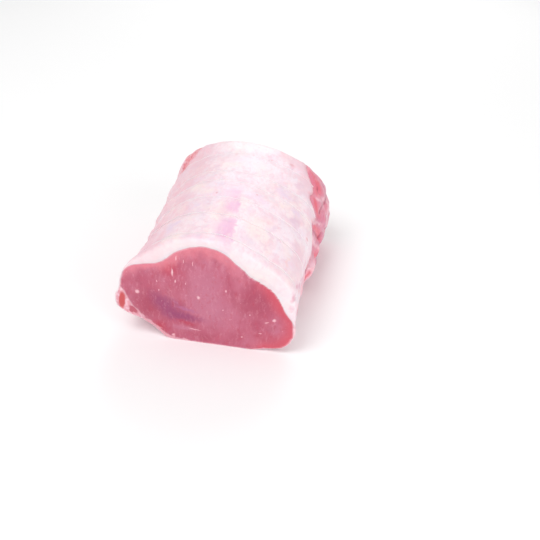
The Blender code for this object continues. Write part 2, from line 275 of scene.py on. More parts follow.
def unevenness(points, size, seed, stretch, count=26):
    # smooth waves in every direction, mostly between -1 and 1, the same in every run
    draw = np.random.default_rng(seed)
    ways = draw.normal(size=(count, 3))
    ways /= np.linalg.norm(ways, axis=1)[:, None]
    ways *= (2.0 * math.pi / (size * draw.uniform(0.65, 1.6, count)))[:, None]
    ways /= np.array(stretch)
    phases = draw.uniform(0.0, 2.0 * math.pi, count)
    flat = points.reshape(-1, 3)
    return (np.cos(flat @ ways.T + phases).sum(axis=1) / math.sqrt(count)).reshape(points.shape[:-1])


def waves(points, rows, firstSeed=0):
    return sum(height * unevenness(points, size, firstSeed + seed, stretch)
               for height, size, seed, stretch in rows)


def skinRadius(angles, y):
    radius = mixed(1, angles, y) + np.maximum(mixed(2, angles, y), 0.0)
    for middle, halfWidth, depth, onset in joint["waists"]:
        hold = (1.0 - np.exp(-y / onset)) * (1.0 - grown(y))
        radius = radius - depth * hold * ridge(angles, middle, halfWidth)
    for middle, halfWidth, rise, first, length in joint["swellings"]:
        radius = radius + rise * eased((y - first) / length) * ridge(angles, middle, halfWidth)
    return radius


def rightEdge(y):
    places, angles = np.array(fat["rightEdge"]).T
    edge = np.interp(y, places, angles)
    for size, share in ((9.3, 0.5), (5.1, 0.3), (2.7, 0.2)):  # length and share of each wave
        edge = edge + fat["fray"] * share * np.sin(2.0 * math.pi * y / size + 7.0 * size)
    return edge


def fatDepth(angles, y):
    full = np.maximum(mixed(2, angles, y), fat["lip"])
    inwards = np.minimum(angles - rightEdge(y), fat["leftEdge"] - angles)
    teeth = np.sin(angles * 1.9) + np.sin(angles * 1.17 + 1.0) + 0.8 * np.sin(angles * 2.9 + 2.0)
    toothed = fat["teeth"] * teeth * ridge(angles, *fat["toothed"]) * np.clip(full / 4.0, 0.0, 1.0)
    return fat["lip"] + (full + toothed - fat["lip"]) * eased(inwards / fat["lipTaper"])


def lipDrop(angles, y, radius):
    # how far the outside falls away at the fat's very edge
    inwards = np.minimum(angles - rightEdge(y), fat["leftEdge"] - angles)
    share = np.clip(np.radians(inwards) * radius / fat["lipRound"], 0.0, 1.0)
    return fat["lipDrop"] * fat["lip"] * (1.0 - np.sqrt(1.0 - (1.0 - share) ** 2))


def sideDepth(angles):
    share = (angles - sideMuscle["start"]) / (sideMuscle["end"] - sideMuscle["start"])
    deep = sideMuscle["depth"] * np.sin(math.pi * np.clip(share, 0.0, 1.0))
    return np.maximum(deep, sideMuscle["thinnest"])


def fromLoop(y):
    return np.min([np.abs(y - place) for place, _ in twine["loops"]], axis=0)


def betweenLoops(y):
    places = np.array([0.0, *(place for place, _ in twine["loops"]), joint["length"]])
    after = np.clip(np.searchsorted(places, y), 1, len(places) - 1)
    share = (y - places[after - 1]) / (places[after] - places[after - 1])
    return np.sin(math.pi * np.clip(share, 0.0, 1.0))


def bundles(angles, y):
    # how high the rounded bundles of bared meat stand, pressed down by the loops
    height = np.zeros(np.broadcast(angles, y).shape)
    for middle, halfWidth, rise, first, sway, phase in flank["bundles"]:
        along = eased((y - first) / flank["rise"])
        swayed = middle + sway * np.sin(2.0 * math.pi * y / flank["swayLength"] + phase)
        share = np.abs(turnedFrom(angles, swayed)) / (halfWidth * flank["overlap"])
        share = np.clip(share, 0.0, 1.0)
        height = np.maximum(height, rise * along * (1.0 - share**2) ** 0.8)
    height = height * (1.0 - flank["hold"] * np.exp(-((fromLoop(y) / flank["holdReach"]) ** 2)))
    height = height - flank["creaseDepth"] * alongPaths(flank["creases"], angles, y)
    rounded, middle, halfWidth, most, first, length = flank["drawn"]
    rounded = rounded * ridge(angles, middle, halfWidth) - height
    height = height + rounded * most * eased((y - first) / length)
    depth, first, length, middle, halfWidth = flank["tuck"]
    return height - depth * eased((y - first) / length) * ridge(angles, middle, halfWidth)


def ripples(angles, y):
    height = 0.0
    for rise, count, length, phase in joint["ripples"]:
        along = np.sin(2.0 * math.pi * y / length + phase)
        height = height + rise * along * np.cos(count * np.radians(angles) + 2.0 * phase)
    return height


def rounding(y):
    share = np.clip(np.minimum(y, joint["length"] - y) / joint["rimReach"], 0.0, 1.0)
    return 1.0 - np.sqrt(1.0 - (1.0 - share) ** 2)


def placed(radii, angles, y):
    # points round a section, its underside pressed flat and the ring askew as its loop is
    front, rear, share = joint["frontMiddle"], joint["rearMiddle"], grown(y)
    x = front[0] + (rear[0] - front[0]) * share + radii * np.cos(np.radians(angles))
    z = front[1] + (rear[1] - front[1]) * share + radii * np.sin(np.radians(angles))
    places = [0.0, *(place for place, _ in twine["loops"]), joint["length"]]
    skews = [0.0, *(skew for _, skew in twine["loops"]), 0.0]
    ahead = np.interp(y, places, skews) * x / twine["skewReach"]
    bed = twine["bed"] * np.clip(1.0 - fromLoop(y) / twine["bedReach"], 0.0, 1.0)
    return np.stack([x, y + ahead + 0.0 * z, np.maximum(z, bed + 0.0 * z)], axis=-1)


def isCapped(angles, y):
    return (angles >= rightEdge(y) - 1e-6) & (angles <= fat["leftEdge"] + 1e-6)


def outsideRadius(angles, y, capped):
    bare = np.where(capped, 0.0, 1.0)
    swell = fat["swell"] + (flank["swell"] - fat["swell"]) * bare
    radius = skinRadius(angles, y) + swell * betweenLoops(y)
    radius = radius + bare * bundles(angles, y) + ripples(angles, y)
    groove = np.exp(-2.0 * (fromLoop(y) / twine["grooveReach"]) ** 2)
    radius = radius - twine["grooveDepth"] * groove

    points = placed(radius, angles, y)
    onMeat = waves(points, relief["meat"]) - relief["sink"]
    onFat = waves(points, relief["fat"]) - relief["sink"]
    pucker = np.exp(-((fromLoop(y) / relief["puckerReach"]) ** 2))
    onFat = onFat + waves(points, relief["pucker"]) * pucker
    middle, halfWidth, first, length = fat["left"]
    lumps = waves(points, relief["lumps"]) - fat["leftDepth"]
    onFat = onFat + lumps * ridge(angles, middle, halfWidth) * eased((y - first) / length)
    torn = np.clip(alongPaths(fat["torn"], angles, y) * 2.0 - 0.6, 0.0, 1.0)
    onFat = onFat - fat["tornDepth"] * torn
    onFat = onFat - fat["foldDepth"] * alongPaths(fat["folds"], angles, y)
    return radius + np.where(capped, onFat, onMeat)


def tidyPoints(points):
    # into the frame, in metres, and inside the joint's box
    moved = points + np.array(joint["place"])
    return np.clip(moved, cadLow + 0.01, cadHigh - 0.01) / 1000.0


def makeMesh(name, points, faces, sharpAngle=50.0):
    mesh = bpy.data.meshes.new(name)
    mesh.from_pydata(tidyPoints(points).tolist(), [], faces)
    mesh.flip_normals()
    mesh.update()
    mesh.shade_smooth()
    mesh.set_sharp_from_angle(angle=math.radians(sharpAngle))
    made = bpy.data.objects.new(name, mesh)
    bpy.context.scene.collection.objects.link(made)
    return made


def addValues(piece, name, values):
    attribute = piece.data.attributes.new(name, "FLOAT", "POINT")
    attribute.data.foreach_set("value", np.asarray(values, np.float32))


def gridFaces(rows, columns, first, closed, flipped=False):
    # quads over a grid of points numbered row by row from first
    faces = []
    for row in range(rows - 1):
        for column in range(columns if closed else columns - 1):
            beside = (column + 1) % columns
            a, b = first + row * columns + column, first + row * columns + beside
            face = (a, b, b + columns, a + columns)
            faces.append(face[::-1] if flipped else face)
    return faces


rings = {
    "ends": [0.0, 0.05, 0.18, 0.4, 0.75, 1.2, 1.8, 2.4, 3.0],  # from either end
    "besideLoop": 2.8,
    "loopGap": 0.4,
    "widestGap": 1.3,
    "gap": 1.15,
}


def ringPlaces():
    # rings close together at the rims and the loops
    places = set(rings["ends"] + [joint["length"] - end for end in rings["ends"]])
    beside = rings["besideLoop"]
    for place, _ in twine["loops"]:
        places |= set(np.round(place + np.arange(-beside, beside + 0.01, rings["loopGap"]), 3))
    marks = sorted(places)
    for before, after in zip(marks, marks[1:]):
        if after - before > rings["widestGap"]:
            steps = math.ceil((after - before) / rings["gap"])
            places |= set(np.linspace(before, after, steps + 1)[1:-1])
    return np.array(sorted(places))[:, None]


# columns of a section, counted from the fat's right edge over the top and back
columnCounts = {"top": 168, "covered": 12, "bareSide": 14, "under": 58, "flank": 58}
y = ringPlaces()
spans = (
    (rightEdge(y), sideMuscle["start"], columnCounts["top"]),
    (sideMuscle["start"], fat["leftEdge"], columnCounts["covered"]),
    (fat["leftEdge"], sideMuscle["end"], columnCounts["bareSide"]),
    (sideMuscle["end"], flank["start"], columnCounts["under"]),
    (flank["start"], rightEdge(y) + 360.0, columnCounts["flank"]),
)
parts = []
for start, end, count in spans:
    share = np.arange(count) / count
    parts.append(start + (end - start) * share + 0.0 * y)
angles = np.concatenate(parts, axis=1)
sideFirst = columnCounts["top"]
fatLast = sideFirst + columnCounts["covered"]
sideLast = fatLast + columnCounts["bareSide"]
columns = np.arange(angles.shape[1])[None, :]
capped = np.broadcast_to(columns <= fatLast, angles.shape)

surface = outsideRadius(angles, y, capped)
depth = np.where(capped, fatDepth(angles, y), 0.0)
rim = np.where(capped, np.minimum(fat["rimRound"], fat["rimShare"] * depth), joint["bareRound"])
outside = surface - rim * rounding(y) - np.where(capped, lipDrop(angles, y, surface), 0.0)
underFat = np.where(capped, surface - depth, outside)
sided = (columns >= sideFirst) & (columns <= sideLast)
eye = underFat - np.where(sided, sideDepth(angles), 0.0)
print("sections:", angles.shape[0], "rings of", angles.shape[1], "points")

cut = {
    "dome": 1.25,  # how far the middle of a cut face stands out
    "crowding": 1.05,
    "waves": ((0.20, 19.0, 0, even), (0.09, 6.5, 1, even), (0.05, 3.2, 2, (1.0, 1.0, 2.6))),
    "calmRim": 3.5,
    "front": (-1.0, 46, 41),  # way, rings and first seed
    "rear": (1.0, 26, 51),
    "farIn": 50.0,  # what stands for far away from an edge
    "layerRings": 7,  # over the cut end of a layer
}


def cutFace(rimPoints, way, count, seed):
    # rings of a cut face from the rim to its middle, a little domed and uneven
    middle = rimPoints.mean(axis=0)
    rows, inwards = [], []
    reach = np.linalg.norm(rimPoints - middle, axis=1)
    for scale in 1.0 - np.linspace(0.0, 1.0, count + 1)[1:-1] ** cut["crowding"]:
        row = middle + (rimPoints - middle) * scale
        away = reach * (1.0 - scale)
        uneven = waves(row, cut["waves"], seed) * eased(away / cut["calmRim"])
        row[:, 1] += way * (cut["dome"] * (1.0 - scale**2) + uneven)
        rows.append(row)
        inwards.append(away)
    tip = middle + np.array([0.0, way * cut["dome"], 0.0])
    return np.array(rows), np.array(inwards), tip


def makeLean():
    body = placed(eye, angles, y)
    count = body.shape[1]
    front, frontIn, frontTip = cutFace(body[0], *cut["front"])
    rear, rearIn, rearTip = cutFace(body[-1], *cut["rear"])
    rows = len(front) + len(body) + len(rear)
    tips = rows * count
    points = np.concatenate([front[::-1], body, rear]).reshape(-1, 3)
    faces = gridFaces(rows, count, 0, True)
    last = tips - count
    for column in range(count):
        beside = (column + 1) % count
        faces.append((tips, beside, column))
        faces.append((last + column, last + beside, tips + 1))
    piece = makeMesh("loinMeat", np.concatenate([points, [frontTip, rearTip]]), faces)

    def spread(onBody, onFaces):
        values = np.full((rows, count), onFaces)
        values[len(front):len(front) + len(body)] = onBody
        return values

    def keep(name, values, onTips):
        addValues(piece, name, np.concatenate([values.ravel(), [onTips, onTips]]))

    rims = np.zeros(body.shape[:2])
    rims[[0, -1]] = 1.0
    keep("onFace", spread(rims, 1.0), 1.0)
    inwards = np.concatenate([frontIn[::-1], np.zeros(body.shape[:2]), rearIn])
    keep("inwards", inwards, cut["farIn"])
    keep("nearFat", np.tile(np.where(columns <= sideLast, 1.0, 0.0), (rows, 1)), 0.0)
    for name in ("creases", "films", "lobes"):
        keep(name, spread(alongPaths(flank[name], angles, y), 0.0), 0.0)
    besideFat = np.radians(rightEdge(y) + 360.0 - angles) * joint["skinReach"]
    keep("besideFat", spread(besideFat, cut["farIn"]), cut["farIn"])
    return piece


def makeLayer(name, first, last, outer, inner):
    # a closed layer the length of the joint, from one column to another
    span = slice(first, last + 1)
    steps = cut["layerRings"]
    over = placed(outer[:, span], angles[:, span], y)
    under = placed(inner[:, span], angles[:, span], y)
    rows, width = over.shape[:2]
    points = [over.reshape(-1, 3), under.reshape(-1, 3)]
    faces = gridFaces(rows, width, 0, False) + gridFaces(rows, width, rows * width, False, True)
    made = 2 * rows * width
    chains = {}
    for row, way in ((0, -1.0), (rows - 1, 1.0)):
        # the cut end, in strips from the outside to the inside
        strips = [list(range(row * width, row * width + width))]
        for share in np.arange(1, steps) / steps:
            strip = over[row] * (1.0 - share) + under[row] * share
            gap = np.linalg.norm(over[row] - under[row], axis=1)
            bulge = 4.0 * share * (1.0 - share) * (0.3 + 0.06 * unevenness(strip, 5.0, 61, even))
            strip[:, 1] += way * np.minimum(gap * 0.1, 1.0) * bulge
            points.append(strip)
            strips.append(list(range(made, made + width)))
            made += width
        strips.append(list(range(rows * width + row * width, rows * width + row * width + width)))
        for upper, lower in zip(strips, strips[1:]):
            for column in range(width - 1):
                face = (upper[column], lower[column], lower[column + 1], upper[column + 1])
                faces.append(face if row == 0 else face[::-1])
        chains[row] = strips[1:-1]
    # the narrow walls along both edges
    for row in range(rows - 1):
        for column, order in ((0, 1), (width - 1, -1)):
            a, b = row * width + column, rows * width + row * width + column
            before = [strip[column] for strip in chains.get(row, [])]
            after = [strip[column] for strip in chains.get(row + 1, [])]
            face = (a, a + width, *after, b + width, b, *before[::-1])
            faces.append(face[::order])
    return makeMesh(name, np.concatenate(points), faces)


def makeFat():
    piece = makeLayer("fatCap", 0, fatLast, outside, underFat)
    kept = {name: alongPaths(fat[name], angles, y) for name in ("torn", "folds")}
    kept["fatDepth"] = depth
    kept["fromEdge"] = np.radians(angles - rightEdge(y)) * surface
    for name, values in kept.items():
        values = values[:, :fatLast + 1]
        ends = [np.tile(values[row], cut["layerRings"] - 1) for row in (0, -1)]
        addValues(piece, name, np.concatenate([values.ravel(), values.ravel(), *ends]))
    return piece


def makeSideMuscle():
    over = np.where(capped, underFat, outside)
    return makeLayer("sideMuscle", sideFirst, sideLast, over, eye)


def makeLoop(index, place):
    # two strands twisted round a path that follows the skin
    turns = np.linspace(0.0, 360.0, twine["points"], endpoint=False)
    at = np.array([[place]])
    edge = float(rightEdge(at)[0, 0])
    allRound = edge + turns[None, :]
    radii = outsideRadius(allRound, at, isCapped(allRound, at))[0]
    window = np.hanning(twine["smoothing"])
    pad = twine["smoothing"] // 2
    radii = np.concatenate([radii[-pad:], radii, radii[:pad]])
    radii = np.convolve(radii, window / window.sum(), "valid")
    floor = placed(radii[None, :], allRound, at)[0]
    along = np.roll(floor, -1, axis=0) - np.roll(floor, 1, axis=0)
    along /= np.linalg.norm(along, axis=1)[:, None]
    outwards = np.stack([along[:, 2], np.zeros(len(along)), -along[:, 0]], axis=1)
    outwards /= np.linalg.norm(outwards, axis=1)[:, None]
    sideways = np.cross(along, outwards)

    below, halfWidth, fading = twine["sunkAngles"]
    bare = eased((halfWidth - np.abs(turnedFrom(allRound[0], edge - below))) / fading)
    waver = twine["waver"] * np.sin(np.radians(allRound[0]) * 9.0 + index)
    path = floor + outwards * (twine["lift"][index - 1] + waver - twine["sunk"] * bare)[:, None]
    steps = np.linalg.norm(np.roll(path, -1, axis=0) - path, axis=1)
    travelled = np.concatenate([[0.0], np.cumsum(steps)])
    length = travelled[-1]
    turn = 2.0 * math.pi * round(length / twine["pitch"]) * travelled[:-1] / length
    points, faces = [], []
    count, sides = len(path), twine["sides"]
    for strand in range(2):
        lean = (turn + math.pi * strand)[:, None]
        middle = path + twine["plyOffset"] * (np.cos(lean) * outwards + np.sin(lean) * sideways)
        for corner in np.linspace(0.0, 2.0 * math.pi, sides, endpoint=False):
            way = np.cos(lean + corner) * outwards + np.sin(lean + corner) * sideways
            points.append(middle + twine["plyRadius"] * way)
        for side in range(sides):
            first = (strand * sides + side) * count
            beside = (strand * sides + (side + 1) % sides) * count
            for point in range(count):
                after = (point + 1) % count
                faces.append((first + point, first + after, beside + after, beside + point))
    return makeMesh(f"twine{index}", np.concatenate(points), faces, 80.0)


# for the materials, where a value may be a socket, a number or a colour
def put(tree, socket, value):
    if isinstance(value, bpy.types.NodeSocket):
        tree.links.new(value, socket)
    elif isinstance(value, tuple) and len(value) == 3 and socket.type == "RGBA":
        socket.default_value = (*value, 1.0)
    else:
        socket.default_value = value


def startMaterial(name):
    material = bpy.data.materials.new(name)
    material.use_nodes = True
    tree = material.node_tree
    return material, tree, tree.nodes["Principled BSDF"]


def measure(tree):
    # a point's place on the joint in millimetres
    where = tree.nodes.new("ShaderNodeTexCoord").outputs["Object"]
    scaled = vectorMath(tree, "SCALE", where, scale=1000.0)
    return vectorMath(tree, "SUBTRACT", scaled, joint["place"])


def vectorMath(tree, operation, first, second=None, scale=None):
    node = tree.nodes.new("ShaderNodeVectorMath")
    node.operation = operation
    put(tree, node.inputs[0], first)
    if second is not None:
        put(tree, node.inputs[1], second)
    if scale is not None:
        node.inputs["Scale"].default_value = scale
    return node.outputs["Value"] if operation == "LENGTH" else node.outputs["Vector"]


def number(tree, operation, first, second=0.0):
    node = tree.nodes.new("ShaderNodeMath")
    node.operation = operation
    put(tree, node.inputs[0], first)
    put(tree, node.inputs[1], second)
    return node.outputs[0]


def times(tree, *values):
    product = values[0]
    for value in values[1:]:
        product = number(tree, "MULTIPLY", product, value)
    return product


def step(tree, value, low, high, smooth=True):
    # 0 at low and 1 at high, or the other way round where low is above high
    node = tree.nodes.new("ShaderNodeMapRange")
    node.interpolation_type = "SMOOTHSTEP" if smooth else "LINEAR"
    put(tree, node.inputs["Value"], value)
    if low < high:
        node.inputs["From Min"].default_value, node.inputs["From Max"].default_value = low, high
    else:
        node.inputs["From Min"].default_value, node.inputs["From Max"].default_value = high, low
        node.inputs["To Min"].default_value, node.inputs["To Max"].default_value = 1.0, 0.0
    return node.outputs["Result"]


def noise(tree, where, size, stretch=even, detail=3.0, shift=0.0, roughness=0.55):
    mapping = tree.nodes.new("ShaderNodeMapping")
    put(tree, mapping.inputs["Vector"], where)
    mapping.inputs["Location"].default_value = (shift, shift * 0.7, -shift)
    mapping.inputs["Scale"].default_value = tuple(1.0 / (size * way) for way in stretch)
    node = tree.nodes.new("ShaderNodeTexNoise")
    tree.links.new(mapping.outputs["Vector"], node.inputs["Vector"])
    node.inputs["Scale"].default_value = 1.0
    node.inputs["Detail"].default_value = detail
    node.inputs["Roughness"].default_value = roughness
    return node.outputs["Fac"]


def patchy(tree, where, size, low, high, *more):
    # patches of 1 among 0 in a soft noise
    return step(tree, noise(tree, where, size, *more), low, high)


def unrest(tree, where, size, stretch, shift):
    # a soft noise between about -0.5 and 0.5
    return number(tree, "SUBTRACT", noise(tree, where, size, stretch, 4.0, shift), 0.5)


def blend(tree, share, first, second):
    node = tree.nodes.new("ShaderNodeMix")
    node.data_type = "RGBA"
    put(tree, node.inputs["Factor"], share)
    put(tree, node.inputs["A"], first)
    put(tree, node.inputs["B"], second)
    return node.outputs["Result"]


def tinted(tree, colour, added, *shares):
    # colour turned into added by the product of the shares
    return blend(tree, times(tree, *shares), colour, added)


def spot(tree, where, middle, reach, soft=0.6, tilt=0.0):
    # 1 in the middle of an egg-shaped spot, falling to 0 at its edge
    off = vectorMath(tree, "SUBTRACT", where, middle)
    if tilt:
        turned = tree.nodes.new("ShaderNodeVectorRotate")
        turned.rotation_type = "Y_AXIS"
        tree.links.new(off, turned.inputs["Vector"])
        turned.inputs["Angle"].default_value = math.radians(tilt)
        off = turned.outputs["Vector"]
    away = vectorMath(tree, "LENGTH", vectorMath(tree, "DIVIDE", off, reach))
    return step(tree, away, 1.0, 1.0 - soft)


def drift(tree, where, size, reach):
    # the place, shifted about by a soft noise
    swirl = tree.nodes.new("ShaderNodeTexNoise")
    tree.links.new(vectorMath(tree, "SCALE", where, scale=1.0 / size), swirl.inputs["Vector"])
    swirl.inputs["Scale"].default_value = 1.0
    swirl.inputs["Detail"].default_value = 3.0
    shift = vectorMath(tree, "SUBTRACT", swirl.outputs["Color"], (0.5, 0.5, 0.5))
    return vectorMath(tree, "ADD", where, vectorMath(tree, "SCALE", shift, scale=2.0 * reach))


def apart(tree, where):
    # the sockets for x, y and z
    node = tree.nodes.new("ShaderNodeSeparateXYZ")
    tree.links.new(where, node.inputs[0])
    return node.outputs


def readValues(tree, name):
    node = tree.nodes.new("ShaderNodeAttribute")
    node.attribute_name = name
    return node.outputs["Fac"]


def frayed(tree, name, shake, reach):
    # the values kept on a piece, made uneven by a noise
    return number(tree, "ADD", readValues(tree, name), times(tree, shake, reach))


def bump(tree, shader, height, strength, distance):
    node = tree.nodes.new("ShaderNodeBump")
    put(tree, node.inputs["Height"], height)
    node.inputs["Strength"].default_value = strength
    node.inputs["Distance"].default_value = distance / 1000.0
    tree.links.new(node.outputs["Normal"], shader.inputs["Normal"])


def moist(shader, roughness, depth, radius, gloss=0.4, coat=0.0):
    shader.inputs["Roughness"].default_value = roughness
    shader.inputs["Specular IOR Level"].default_value = gloss
    shader.inputs["Subsurface Weight"].default_value = depth
    shader.inputs["Subsurface Radius"].default_value = tuple(part / 1000.0 for part in radius)
    shader.inputs["Subsurface Scale"].default_value = 1.0
    shader.inputs["Coat Weight"].default_value = coat
    shader.inputs["Coat Roughness"].default_value = 0.25


fatLook = {
    "white": (0.92, 0.78, 0.84),
    "pink": (0.84, 0.58, 0.66),
    "cream": (0.94, 0.78, 0.77),
    "peach": (0.90, 0.60, 0.60),
    "lavender": (0.83, 0.65, 0.79),
    "violet": (0.81, 0.47, 0.66),
    "left": (0.88, 0.55, 0.62),
    "thin": (0.82, 0.38, 0.44),
    "torn": (0.84, 0.26, 0.30),
    "clot": (0.50, 0.09, 0.13),
    "dusty": (0.79, 0.57, 0.67),
    # the palest colour, laid on as painted highlight along the front cut edge, over the fat's own
    # whiter cut, and over the rear crown
    "rim": (0.97, 0.86, 0.87),
    "rosy": (0.83, 0.47, 0.56),
    "coral": (0.88, 0.56, 0.62),
    "magenta": (0.79, 0.44, 0.63),
    "spotColour": (0.76, 0.38, 0.42),
    # mauve of the bruises, also laid along the folds as painted shade
    "bruiseAndFoldShade": (0.72, 0.33, 0.45),
    # size, seed, low and high end, colour and strength of the mottling
    "mottling": (
        (11.0, 5.0, 0.46, 0.70, "pink", 0.6),
        (14.0, 11.0, 0.48, 0.70, "lavender", 0.5),
        (4.5, 17.0, 0.50, 0.72, "pink", 0.45),
    ),
    # middle, reach, colour and strength of the softer patches
    "patches": (
        ((-6, 110, 76), (27, 22, 14), "white", 0.55),
        # painted highlight over the rear crown, in the palest colour
        ((-12, 138, 76), (34, 18, 20), "rim", 0.75),
        ((26, 144, 66), (24, 20, 14), "coral", 0.85),
        ((34, 124, 61), (12, 20, 10), "coral", 0.75),
        ((25, 86, 65), (11, 12, 12), "lavender", 0.85),
        ((35.5, 75, 58), (8, 9, 10), "lavender", 0.8),
        ((31, 60, 62), (6, 9, 10), "pink", 0.6),
        ((-4.6, 3, 74), (16, 5, 8), "lavender", 0.6),
        ((-33.4, 19, 70), (5, 9, 8), "lavender", 0.7),
        ((-26.7, 44, 72.6), (5, 8, 8), "lavender", 0.6),
        ((-34, 60, 70), (6, 8, 10), "pink", 0.7),
        ((16, 36, 68), (12, 12, 12), "cream", 0.7),
        ((36, 29, 56), (8, 11, 10), "cream", 0.5),
        ((9, 66, 73), (9, 6, 8), "lavender", 0.7),
        ((17, 54, 70), (7, 5, 8), "pink", 0.6),
        ((-15, 104, 76), (14, 9, 8), "cream", 0.7),
        ((27, 137, 66), (12, 11, 12), "pink", 0.9),
        ((34, 118, 61), (6, 12, 10), "pink", 0.6),
        ((42, 5, 44), (5, 9, 16), "pink", 0.6),
        ((38, 20, 54.5), (2.5, 7, 4), "peach", 0.7),
        ((38.1, 13, 54.5), (3.5, 4.5, 4), "peach", 0.8),
        ((37.8, 24.2, 55.5), (4, 5, 4), "peach", 0.5),
        ((33, 4, 56), (6, 6, 7), "pink", 0.5),
        ((32.6, 107, 61.6), (6, 11, 8), "dusty", 0.8),
        ((33, 88, 60.5), (5, 9, 8), "dusty", 0.6),
        ((35.7, 64, 57.8), (5.5, 9, 7), "dusty", 1),
        ((39.8, 40, 54.1), (4, 9, 7), "dusty", 0.7),
        ((22.1, 67.6, 67), (6, 7, 8), "peach", 0.35),
        ((20.9, 43.3, 67.2), (8, 7, 8), "peach", 0.35),
        ((4.4, 63, 74.2), (8, 4.5, 8), "dusty", 0.6),
        ((-33, 72, 71.5), (11, 10, 10), "cream", 0.9),
        ((-22.4, 64, 74.3), (10, 8, 10), "cream", 0.9),
        ((-28, 6, 70.9), (11, 9, 10), "cream", 0.8),
        ((-54, 28, 55), (14, 28, 16), "rosy", 0.9),
        ((-46, 9, 58), (12, 12, 12), "rosy", 0.7),
        ((-47, 35, 59.5), (12, 17, 12), "rosy", 0.5),
        ((-61.5, 58, 35), (12, 30, 18), "rosy", 0.6),
        ((22.2, 131, 68.2), (5, 8, 6), "rosy", 0.6),
        ((8, 126, 72.7), (5, 6, 5), "dusty", 0.5),
        ((13, 120, 71.5), (8, 9, 8), "pink", 0.5),
        ((42, 120, 56), (9, 25, 9), "pink", 0.7),
        ((42, 30, 46), (7, 30, 14), "pink", 0.75),
    ),
    # middle and reach of small spots of gland and blood
    "spots": (
        ((20.5, 2, 63.8), (1, 1.3, 1.3)),
        ((23.5, 131.4, 67.9), (2.6, 3, 3)),
        ((9.5, 125.4, 72.2), (1.2, 1.5, 1.5)),
        ((-15.7, 60.6, 74.8), (1.1, 1.5, 1.5)),
        ((44.1, 0.5, 32.5), (1, 1.6, 1.2)),
        ((46, 18, 35.9), (1.6, 2.4, 2.4)),
        ((45.5, 47, 36), (2, 1.4, 3.2)),
        ((9.5, 68.2, 72.8), (1.1, 1.3, 1.5)),
        ((44.5, 61.6, 47.1), (2, 1.6, 3)),
    ),
    # middle, reach and strength of the mauve bruises in the lower right corner
    "bruises": (
        ((44.5, 0.5, 41.8), (2.6, 4, 4.5), 0.75),
        ((46.2, 23.7, 34.1), (3, 5.5, 4.5), 0.6),
        ((43.8, 0, 35), (2.2, 3, 3.5), 0.4),
    ),
    # the same for the darker cores of the stain
    "core": (
        ((1.4, 46.5, 75), (5, 9, 12), 0.5),
        ((2, 24.5, 74.7), (7, 8, 12), 0.65),
        ((1.5, 14, 74.2), (6, 5, 12), 0.35),
    ),
    # middle, reach and strength of the violet stain's blocks between the loops
    "stain": (
        ((-1, 46, 75), (18, 12, 20), 0.75),
        ((2, 24, 74), (19, 11, 20), 0.8),
        ((2, 13, 74), (16, 12, 20), 0.85),
        ((-3, 61, 75), (16, 9, 20), 0.5),
        ((3, 4, 73), (18, 8, 20), 0.45),
    ),
}


